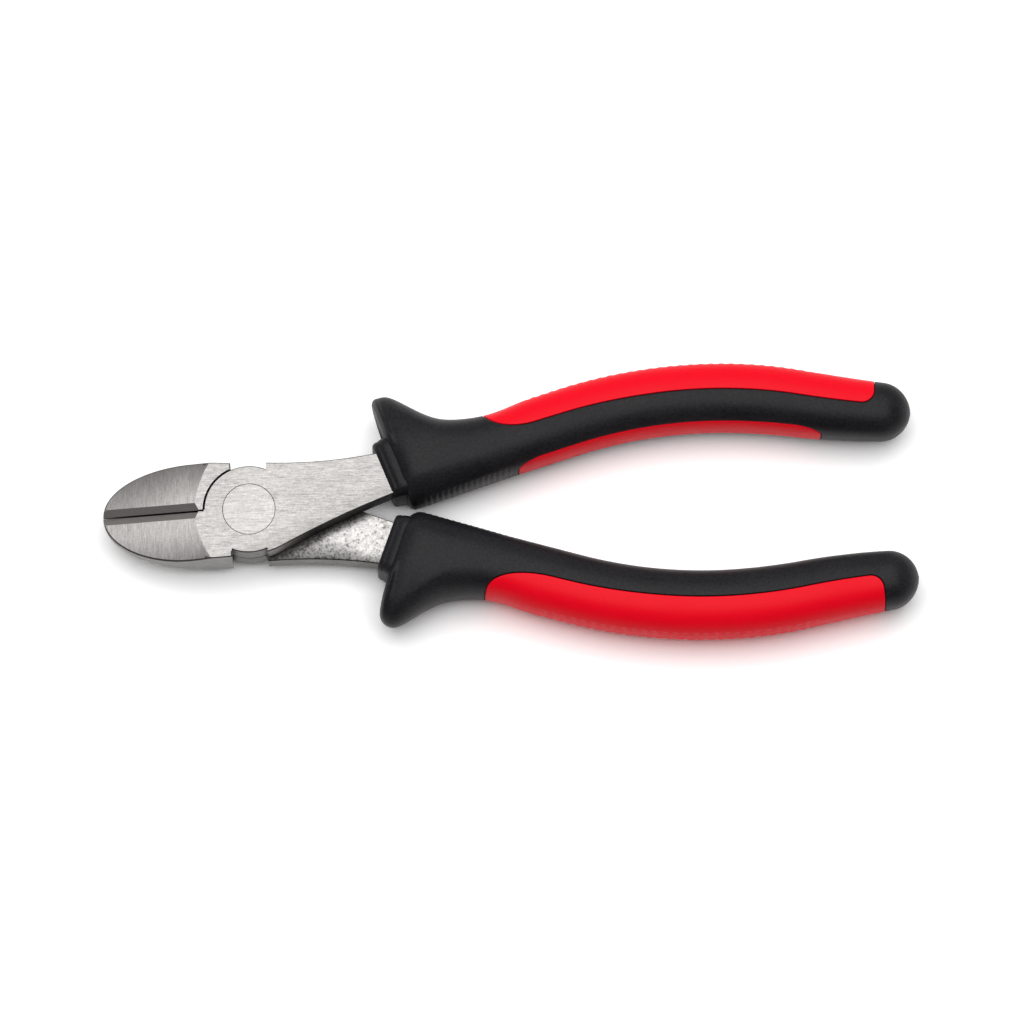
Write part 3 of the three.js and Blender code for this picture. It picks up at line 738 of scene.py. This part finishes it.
def without_slivers(mesh):
    clean = bmesh.new()
    clean.from_mesh(mesh)
    bmesh.ops.remove_doubles(clean, verts=clean.verts, dist=MERGE)
    bmesh.ops.dissolve_degenerate(clean, edges=clean.edges, dist=MERGE)
    clean.to_mesh(mesh)
    clean.free()


def lever_mesh():
    """One lever, and the normal and centre of each of its faces."""
    body = raw_object(*prism(upper_outline(), LAP, THICK))
    combine(body, *prism(lower_outline(), 0.0, LAP + JAW_OVERLAP), "UNION")
    tip, wide = -JAW_LENGTH - CLEAR, JAW_HALF_WIDTH + CLEAR
    face = block_above([(tip, -wide), (FACE_CUT_OUTER_X, -wide), (FACE_CUT_INNER_X, FACE_CUT_INNER_Y),
                        (tip, FACE_CUT_INNER_Y)], *FACE_CUT_STEPS, jaw_face)
    bevel = block_above([(tip, -BEVEL_RIM), (-FACE_START, -BEVEL_RIM), (-FACE_START + BEVEL_SLANT, 0.0),
                         (tip, 0.0)], 1, 1, bevel_face)
    bore = RIVET_HEAD + RIVET_CLEARANCE
    hole = lathe([(0, -CLEAR), (bore, -CLEAR), (bore, THICK + CLEAR), (0, THICK + CLEAR)])
    under_face, under_bevel = mirrored_in_thickness(*face), mirrored_in_thickness(*bevel)
    for cut in [face, under_face, bevel, under_bevel, hole] + chamfers():
        combine(body, *cut, "DIFFERENCE")
    combine(body, *tang_mesh(), "UNION")
    result = body.data
    without_slivers(result)
    points = np.array([vertex.co for vertex in result.vertices])
    faces = [list(polygon.vertices) for polygon in result.polygons]
    normals = np.array([polygon.normal for polygon in result.polygons])
    centres = np.array([polygon.center for polygon in result.polygons])
    bpy.data.objects.remove(body)
    bpy.data.meshes.remove(result)
    return points, faces, normals, centres


# Finishes of the lever's faces, in the order of lever_looks, and what tells the faces apart; the bevel, side,
# gap, edge and neck inner-wall finishes are darker copies of the steel that paint shade
FLAT, JAW, BEVEL, FORGED, SIDE, GAP, EDGE, SCALE, JAW_SIDE = range(9)
LEVEL_FACING, JAW_FACING, BEVEL_FACING, EDGE_FACING, UPRIGHT = 0.9995, 0.93, (0.6, 0.97), 0.3, 0.5
NEAR, NEAR_NOTCH, NOTCH_DEPTH, FORGED_MARGIN = 0.02, 0.1, 1.0, 1.0
JAW_FACE_X, GAP_X, FORGED_X, NECK_SHADE_X = -6.5, -8.0, 2.0, 4.0
NECK_SIDE, SQUARE_ON = (0.4, -0.92), 0.9


def lever_regions(normals, centres):
    """Numbers the faces by finish."""
    x, y, z = centres.T
    facing = np.abs(normals[:, 2])
    level = ((z > THICK - NEAR) | (z < NEAR)) & (facing > LEVEL_FACING)
    region = np.full(len(normals), SIDE)
    region[level] = FLAT
    region[(x < JAW_FACE_X) & (facing > JAW_FACING) & ~level] = JAW
    sloped = (facing > BEVEL_FACING[0]) & (facing < BEVEL_FACING[1])
    region[(x < -FACE_START + BEVEL_SLANT) & (np.abs(y) < BEVEL_RIM - NEAR) & sloped] = BEVEL
    # Chamfers take a dark steel, painted as dark reflection along the edges
    region[(region == SIDE) & (facing > EDGE_FACING)] = EDGE
    between = (z > FORGED_MARGIN) & (z < THICK - FORGED_MARGIN)
    region[(normals[:, 2] < -UPRIGHT) & between & (x > FORGED_X)] = FORGED
    # Walls of the cutting gap take near-black steel, painted shade where shade falls between the jaws
    region[(facing < UPRIGHT) & (np.abs(y) < EDGE_GAP) & (x < GAP_X)] = GAP
    inward = normals[:, :2] @ np.array(NECK_SIDE) > SQUARE_ON
    # Inner walls of the necks take a dark steel as painted shade
    region[(facing < UPRIGHT) & (x > NECK_SHADE_X) & inward] = SCALE
    region[(region == SIDE) & (x < -NOTCH - NEAR_NOTCH)] = JAW_SIDE
    beside_notch = (np.abs(np.abs(x) - NOTCH) < NEAR_NOTCH) & (np.abs(y) > BOSS - NOTCH_DEPTH)
    # Notch walls square to the jaw take the darker bevel steel as painted shade
    region[(np.abs(normals[:, 0]) > SQUARE_ON) & beside_notch] = BEVEL
    return region


def rivet_mesh():
    """Rivet with slightly rounded rims, flush with both faces."""
    rim_cut = RIVET_ROUND_SHARE * RIVET_ROUND
    lower = [(RIVET_HEAD - RIVET_ROUND, 0.0), (RIVET_HEAD - rim_cut, rim_cut), (RIVET_HEAD, RIVET_ROUND)]
    upper = [(radius, THICK - z) for radius, z in lower[::-1]]
    return lathe([(0, 0.0)] + lower + upper + [(0, THICK)])


# Materials, with places in millimetres along and across the tool

# Painted shade on the jaws, toward the outer edge and the tip
JAW_SHADE_OUTER, JAW_SHADE_TIP = 10.0, (-24.0, -13.0)
# Painted shade on the ground flats beside the inner edge of the neck
EDGE_SHADE_WIDTH, EDGE_SHADE_TONE = 3.6, 0.76
# Painted light and shade on the neck's inner wall: brighter toward the shoulder, darkest at the collar
NECK_LIT_SPAN, NECK_LIT_GAIN = (6.5, 12.5), 5.2
NECK_SHADE_SPAN, NECK_SHADE_TONE = (19.5, 24.0), 0.26
# Painted shade on the forging beside the other lever and toward its outer edge, deepening its dull pits there
LAP_SHADE, LAP_SHADE_TONE = dict(start=15.5, growth=0.45, least=1.5), 0.38
OUTER_SHADE, OUTER_SHADE_TONE = dict(start=24.0, growth=0.35, least=2.0), 0.22
OUTER_RUN, OUTER_CURVE, OUTER_DIP = 23.6, 2.96, 1.4
SHADE_PITTING = 0.10
SCRATCH, LINE, BAND, GRAIN = (1.9, 0.23, 0.6), (4.6, 0.42, 1.0), (11.0, 1.5, 3.0), (0.34, 0.30, 0.34)
MOULD_GRAIN, MOULD_CLOUD, MOULD_SCUFF = (0.50, 0.50, 0.50), (11.0, 11.0, 11.0), (3.5, 0.5, 0.5)


class Nodes:
    """Builds the node tree of the world or of a material."""

    def __init__(self, owner, place):
        owner.use_nodes = True
        self.tree = owner.node_tree
        self.tree.nodes.clear()
        self.place = self.add("ShaderNodeTexCoord").outputs[place]

    def add(self, kind, operation=None, **values):
        """New node with constant values on its sockets."""
        node = self.tree.nodes.new(kind)
        if operation:
            node.operation = operation
        for key, value in values.items():
            node.inputs[key.replace("_", " ")].default_value = value
        return node

    def link(self, output, socket):
        self.tree.links.new(output, socket)

    def noise(self, size, detail, rough, offset=(0, 0, 0)):
        """Noise whose features measure size millimetres along each axis."""
        mapping = self.add("ShaderNodeMapping", Scale=[1 / (MM * axis) for axis in size], Location=offset)
        self.link(self.place, mapping.inputs["Vector"])
        noise = self.add("ShaderNodeTexNoise", Scale=1.0, Detail=detail, Roughness=rough)
        self.link(mapping.outputs["Vector"], noise.inputs["Vector"])
        return noise.outputs["Fac"]

    def spread(self, value, low, high, to_low, to_high):
        node = self.add("ShaderNodeMapRange", From_Min=low, From_Max=high, To_Min=to_low, To_Max=to_high)
        self.link(value, node.inputs["Value"])
        return node.outputs["Result"]

    def colours(self, value, stops):
        node = self.add("ShaderNodeValToRGB")
        elements = node.color_ramp.elements
        for position, colour in stops[1:-1]:
            elements.new(position).color = (*colour, 1)
        for end in (0, -1):
            elements[end].position, elements[end].color = stops[end][0], (*stops[end][1], 1)
        self.link(value, node.inputs["Fac"])
        return node.outputs["Color"]

    def math(self, operation, a, b):
        node = self.add("ShaderNodeMath", operation=operation)
        for socket, value in zip(node.inputs, (a, b)):
            if isinstance(value, (int, float)):
                socket.default_value = value
            else:
                self.link(value, socket)
        return node.outputs["Value"]

    def weighted(self, *parts):
        """Sum of values, each times its weight."""
        terms = [self.math("MULTIPLY", value, weight) for value, weight in parts]
        total = terms[0]
        for term in terms[1:]:
            total = self.math("ADD", total, term)
        return total

    def bump(self, height, depth, strength):
        node = self.add("ShaderNodeBump", Strength=strength, Distance=depth * MM)
        self.link(height, node.inputs["Height"])
        return node.outputs["Normal"]

    def axes(self):
        """Length along the tool and place across it."""
        split = self.add("ShaderNodeSeparateXYZ")
        self.link(self.place, split.inputs["Vector"])
        return split.outputs["X"], split.outputs["Y"]

    def scaled(self, colour, factor):
        mix = self.add("ShaderNodeVectorMath", operation="SCALE")
        self.link(colour, mix.inputs[0])
        self.link(factor, mix.inputs["Scale"])
        return mix.outputs["Vector"]


class Surface(Nodes):
    """Node tree of one material."""

    def __init__(self, name, **values):
        self.material = bpy.data.materials.new(name)
        super().__init__(self.material, "Object")
        self.out = self.add("ShaderNodeOutputMaterial")
        self.shader = self.add("ShaderNodeBsdfPrincipled", **values)
        self.link(self.shader.outputs["BSDF"], self.out.inputs["Surface"])

    def paint(self, colour, roughness, normal):
        for name, output in (("Base Color", colour), ("Roughness", roughness), ("Normal", normal)):
            self.link(output, self.shader.inputs[name])
        return self.material

    def painted_jaw_shade(self, colour, start, amount, tip):
        """Painted shade: darkens a colour toward the outer edge and the tip of the jaw."""
        x, y = self.axes()
        out = self.math("ABSOLUTE", y, 0.0)
        outward = self.spread(out, start * MM, JAW_SHADE_OUTER * MM, 1.0, 1.0 - amount)
        forward = self.spread(x, JAW_SHADE_TIP[0] * MM, JAW_SHADE_TIP[1] * MM, 1.0 - tip, 1.0)
        return self.scaled(colour, self.math("MULTIPLY", outward, forward))

    def past_neck_edge(self, x, out):
        """Distance in plan beyond the inner edge of a neck that lies at the out side."""
        inner = beside_axis(NECK_END, -NECK_INNER, 0)
        heading = math.atan2(inner[1] + BEND_Y, inner[0] - BEND_X)
        along = self.math("MULTIPLY", self.math("SUBTRACT", x, BEND_X * MM), math.sin(heading))
        across = self.math("MULTIPLY", self.math("SUBTRACT", out, BEND_Y * MM), math.cos(heading))
        return self.math("ADD", along, across)

    def painted_edge_shade(self, colour, side):
        """Painted shade: darkens the ground flat toward the inner edge of its neck."""
        x, y = self.axes()
        past = self.past_neck_edge(x, self.math("MULTIPLY", y, side))
        return self.scaled(colour, self.spread(past, -EDGE_SHADE_WIDTH * MM, 0.0, 1.0, EDGE_SHADE_TONE))

    def painted_neck_shade(self, colour):
        """Painted shade and light on the inner wall of the neck: dark steel made brighter toward the shoulder
        and darkest at the collar.
        """
        x = self.axes()[0]
        worn = self.spread(x, NECK_LIT_SPAN[0] * MM, NECK_LIT_SPAN[1] * MM, NECK_LIT_GAIN, 1.0)
        thick = self.spread(x, NECK_SHADE_SPAN[0] * MM, NECK_SHADE_SPAN[1] * MM, 1.0, NECK_SHADE_TONE)
        return self.scaled(colour, self.math("MULTIPLY", worn, thick))

    def widening(self, x, start, growth, least):
        """Width that grows from its least value toward the joint."""
        width = self.math("MULTIPLY", self.math("SUBTRACT", start * MM, x), growth)
        return self.math("ADD", self.math("MAXIMUM", width, 0.0), least * MM)

    def painted_shade(self):
        """Painted shade: share of light tone left on the forging beside the other lever and at its own outer
        edge.
        """
        x, y = self.axes()
        out = self.math("ABSOLUTE", y, 0.0)
        width = self.widening(x, **LAP_SHADE)
        past = self.math("DIVIDE", self.past_neck_edge(x, out), width)
        inner = self.spread(past, 0.0, 1.0, LAP_SHADE_TONE, 1.0)
        share = self.math("DIVIDE", self.math("SUBTRACT", x, NOTCH * MM), OUTER_RUN * MM)
        curve = self.math("MULTIPLY", self.math("MULTIPLY", share, share), OUTER_CURVE * MM)
        bend = self.math("SUBTRACT", curve, self.math("MULTIPLY", share, OUTER_DIP * MM))
        margin = self.math("SUBTRACT", self.math("ADD", bend, SHOULDER_OUTER * MM), out)
        width = self.widening(x, **OUTER_SHADE)
        outer = self.spread(self.math("DIVIDE", margin, width), 0.0, 1.0, OUTER_SHADE_TONE, 1.0)
        return self.math("MINIMUM", self.math("MULTIPLY", inner, inner), outer)


def toned(tone, factor):
    return tuple(min(1.0, part * factor) for part in tone)


def ground_steel(name, along, tone, streak, rough, finish=None, *values):
    """Steel ground in one direction: short scratches over broader bands, with fine grain."""
    m = Surface(name, Metallic=1.0)
    sizes = [SCRATCH, LINE, BAND]
    if along == "y":
        sizes = [(y, x, z) for x, y, z in sizes]
    scratch = m.noise(sizes[0], 3.0, 0.7)
    line = m.noise(sizes[1], 2.0, 0.6, (1.3, 0.2, 0.7))
    band = m.noise(sizes[2], 2.0, 0.5, (3.1, 1.7, 0.4))
    grain = m.noise(GRAIN, 3.0, 0.7, (0.4, 2.8, 1.9))
    mix = m.weighted((scratch, 0.40), (line, 0.20), (band, 0.10), (grain, 0.30))
    reach = 0.15 / streak
    low, high = 0.5 - reach, 0.5 + reach
    colour = m.colours(mix, [(low, toned(tone, 0.66)), (0.5, tone), (high, toned(tone, 1.32))])
    if finish:
        colour = finish(m, colour, *values)
    roughness = m.spread(mix, low, high, rough + 0.07, rough - 0.07)
    return m.paint(colour, roughness, m.bump(mix, 0.012 * streak, 0.6))


def forged_steel(name, tone, grain, depth, rough):
    """Blasted forging left as it came: uneven bright grains between dull pits, with painted shade beside the
    other lever and toward its outer edge.
    """
    m = Surface(name, Metallic=1.0)
    lumps = m.noise((grain * 2.2,) * 3, 3.0, 0.6)
    grains = m.noise((grain,) * 3, 3.0, 0.65, (2.0, 0.3, 1.1))
    mix = m.weighted((lumps, 0.45), (grains, 0.55))
    # Painted shade beside the other lever and at the forging's outer edge, which also deepens the dull pits
    # there
    painted_shade = m.painted_shade()
    pitted = m.math("ADD", mix, m.math("MULTIPLY", m.math("SUBTRACT", painted_shade, 1.0), SHADE_PITTING))
    stops = [(0.34, toned(tone, 0.45)), (0.46, tone), (0.63, toned(tone, 1.2))]
    colour = m.scaled(m.colours(pitted, stops), painted_shade)
    roughness = m.spread(mix, 0.35, 0.65, rough + 0.12, rough - 0.08)
    return m.paint(colour, roughness, m.bump(mix, depth, 0.7))


def moulded(name, tone, rough, grain_depth, specular, fleck):
    """Moulded plastic: fine grain, faint clouding and smoother patches from handling."""
    m = Surface(name, Specular_IOR_Level=specular)
    grain = m.noise(MOULD_GRAIN, 4.0, 0.75)
    cloud = m.noise(MOULD_CLOUD, 3.0, 0.55, (0.7, 2.2, 4.1))
    scuff = m.noise(MOULD_SCUFF, 3.0, 0.6, (5.2, 0.4, 3.3))
    mix = m.weighted((cloud, 0.6), (scuff, 0.4))
    tint = m.weighted((grain, 0.7), (mix, 0.3))
    colour = m.colours(tint, [(0.34, toned(tone, 1 - fleck)), (0.5, tone), (0.66, toned(tone, 1 + fleck))])
    roughness = m.spread(mix, 0.35, 0.65, rough - 0.05, rough + 0.06)
    return m.paint(colour, roughness, m.bump(grain, grain_depth, 0.5))


def flat_steel(half, side):
    tone = (0.388, 0.376, 0.365)
    return ground_steel(f"{half}_ground_steel", "x", tone, 1.0, 0.54, Surface.painted_edge_shade, side)


def jaw_steel(half, tone, *shading):
    return ground_steel(f"{half}_jaw_steel", "y", tone, 0.8, 0.50, Surface.painted_jaw_shade, *shading)


steel_flat = {"front": flat_steel("front", -1.0), "rear": flat_steel("rear", 1.0)}
# The front and rear jaws are lit and shaded copies of one steel: their tones and painted shade differ with
# how light falls on each half
steel_jaw = {"front": jaw_steel("front", (0.371, 0.358, 0.348), 4.5, 0.40, 0.08),
             "rear": jaw_steel("rear", (0.395, 0.381, 0.370), 1.6, 0.47, 0.34)}
# Bevels: a darker copy of the ground steel, partly their own dark reflection and partly painted shade
steel_bevel = ground_steel("bevel_steel", "x", (0.235, 0.224, 0.214), 0.5, 0.34)
# Side walls: darker copies of the ground steel as painted shade for the shadowed floor they mirror; the jaw
# sides get a lighter copy
steel_side = ground_steel("side_steel", "x", (0.150, 0.146, 0.142), 0.8, 0.42)
steel_jaw_side = ground_steel("jaw_side_steel", "x", (0.218, 0.212, 0.206), 0.8, 0.42)
# Painted shade: dark steel on the chamfers, for the dark lines the edges reflect
steel_edge_shade = ground_steel("edge_shade_steel", "x", (0.10, 0.095, 0.090), 0.8, 0.45)
# Painted shade: near-black steel on the walls of the cutting gap
steel_gap_shade = ground_steel("gap_shade_steel", "x", (0.040, 0.036, 0.034), 0.8, 0.5)
# Painted shade: dark steel on the neck's inner wall, standing for the shadowed floor it mirrors
steel_neck_shade = ground_steel("neck_shade_steel", "x", (0.044, 0.0403, 0.0378), 1.0, 0.5, Surface.painted_neck_shade)
steel_forged = forged_steel("forged_steel", (0.375, 0.365, 0.354), 0.42, 0.12, 0.42)
steel_rivet = ground_steel("rivet_steel", "x", (0.42, 0.409, 0.399), 0.9, 0.53)
black_core = moulded("black_core", (0.0098, 0.0097, 0.0114), 0.44, 0.07, 0.16, 0.75)
black_soft = moulded("black_soft", (0.0098, 0.0097, 0.0115), 0.44, 0.07, 0.16, 0.75)
red_soft = moulded("red_soft", (0.80, 0.0010, 0.0125), 0.42, 0.008, 0.10, 0.05)


# Pieces

STEEL_CREASE, COLLAR_CREASE = math.radians(6), math.radians(50)


def lever_looks(half):
    return [steel_flat[half], steel_jaw[half], steel_bevel, steel_forged, steel_side, steel_gap_shade, steel_edge_shade,
            steel_neck_shade, steel_jaw_side]


def dress(name, points, faces, materials, half, node, slot, face_material=None):
    """Makes a piece that stands for a node of the solids."""
    if half == "rear":
        points = turned_over(points)
    mesh = mesh_of(name, points * MM, faces)
    for material in materials:
        mesh.materials.append(material)
    if face_material is not None:
        mesh.polygons.foreach_set("material_index", face_material.astype(np.int32))
    mesh.shade_smooth()
    piece = placed(name, mesh)
    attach(piece, f"{half}_half")
    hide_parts(node)
    return piece


lever_points, lever_faces, lever_normals, lever_centres = lever_mesh()
lever_region = lever_regions(lever_normals, lever_centres)

for half in ("front", "rear"):
    lever = dress(f"{half}_lever_steel", lever_points, lever_faces, lever_looks(half), half,
                  f"{half}_lever", "lever_steel", lever_region)
    lever.data.set_sharp_from_angle(angle=STEEL_CREASE)
    collar = dress(f"{half}_collar", *collar_mesh(half), [black_core], half,
                   f"{half}_grip_core", "core_plastic")
    collar.data.set_sharp_from_angle(angle=COLLAR_CREASE)
    dress(f"{half}_grip", *shell_mesh(half), [black_soft], half, f"{half}_grip_shell", "black_rubber")
    for side, *shape in (("outer", outer_stations, outer_angles, OUTER_PITCH, OUTER_COLUMNS, PAD_RIBS),
                         ("inner", inner_stations, inner_angles, INNER_PITCH, INNER_COLUMNS, None)):
        dress(f"{half}_{side}_red", *pad_mesh(half, *shape), [red_soft], half,
              f"{half}_{side}_pad", "red_rubber")

rivet = dress("rivet", *rivet_mesh(), [steel_rivet], "rear", "pivot_rivet", "rivet_steel")
rivet.data.set_sharp_from_angle(angle=STEEL_CREASE)


# Stage, light and camera, in metres

FLOOR_HALF, FLOOR_TONE, FLOOR_LIFT = 4.0, 0.93, 0.25
ROOM_DIM, ROOM_FAR, ROOM_ENDS = 0.035, 0.70, 0.28
LAMP_PLACE, LAMP_SIZE, LAMP_POWER = (0.05, 0.10, 0.80), (1.0, 0.8), 7.5
CAMERA_ELEVATION, CAMERA_TURN, CAMERA_DISTANCE = math.radians(73.3), math.radians(1.8), 1.20142
CAMERA_AIM = (0.051644, -0.000990, HALF * MM)
HALF_PICTURE_PIXELS, FOCAL_PIXELS = 512, 6100


def make_floor():
    """White floor; camera, glossy and transmission rays see it lifted alike."""
    square = ((-1, -1), (1, -1), (1, 1), (-1, 1))
    corners = [(x * FLOOR_HALF, y * FLOOR_HALF, cad_box[0][2]) for x, y in square]
    floor = placed("floor", mesh_of("floor", corners, [(0, 1, 2, 3)]))
    tone = (FLOOR_TONE, FLOOR_TONE, FLOOR_TONE, 1)
    m = Surface("floor_white", Base_Color=tone, Roughness=1.0, Specular_IOR_Level=0.0)
    path = m.add("ShaderNodeLightPath")
    lift = m.add("ShaderNodeBsdfDiffuse", Color=(FLOOR_LIFT, FLOOR_LIFT, FLOOR_LIFT, 1))
    seen = m.math("MAXIMUM", path.outputs["Is Camera Ray"], path.outputs["Is Glossy Ray"])
    seen = m.math("MAXIMUM", seen, path.outputs["Is Transmission Ray"])
    shown = m.add("ShaderNodeMixShader")
    m.link(seen, shown.inputs["Fac"])
    m.link(lift.outputs["BSDF"], shown.inputs[2])
    both = m.add("ShaderNodeAddShader")
    m.link(m.shader.outputs["BSDF"], both.inputs[0])
    m.link(shown.outputs["Shader"], both.inputs[1])
    m.link(both.outputs["Shader"], m.out.inputs["Surface"])
    floor.data.materials.append(m.material)


def make_world():
    """Dim room, brighter toward the far side and a little toward both ends of the tool."""
    world = bpy.data.worlds.new("studio")
    bpy.context.scene.world = world
    w = Nodes(world, "Generated")
    x, y = w.axes()
    far = w.spread(y, 0.0, 1.0, ROOM_DIM, ROOM_FAR)
    ends = w.spread(w.math("ABSOLUTE", x, 0.0), 0.0, 1.0, ROOM_DIM, ROOM_ENDS)
    back = w.add("ShaderNodeBackground")
    w.link(w.math("ADD", far, ends), back.inputs["Color"])
    w.link(back.outputs["Background"], w.add("ShaderNodeOutputWorld").inputs["Surface"])


def make_lamp():
    """Large soft lamp overhead, facing straight down."""
    data = bpy.data.lights.new("overhead", "AREA")
    data.shape = "RECTANGLE"
    data.size, data.size_y = LAMP_SIZE
    data.energy = LAMP_POWER
    placed("overhead", data).location = LAMP_PLACE


def make_camera():
    """Camera of the photo, at its distance from the point it aims at."""
    data = bpy.data.cameras.new("camera")
    data.sensor_fit = "HORIZONTAL"
    data.angle = 2 * math.atan(HALF_PICTURE_PIXELS / FOCAL_PIXELS)
    data.clip_start = 0.01
    turned = Matrix.Rotation(-CAMERA_TURN, 4, "Z") @ Matrix.Rotation(math.pi / 2 - CAMERA_ELEVATION, 4, "X")
    back = Matrix.Translation((0, 0, CAMERA_DISTANCE))
    camera = placed("camera", data)
    camera.matrix_world = Matrix.Translation(CAMERA_AIM) @ turned @ back
    bpy.context.scene.camera = camera


make_floor()
make_world()
make_lamp()
make_camera()
bpy.context.scene.view_settings.view_transform = "Standard"
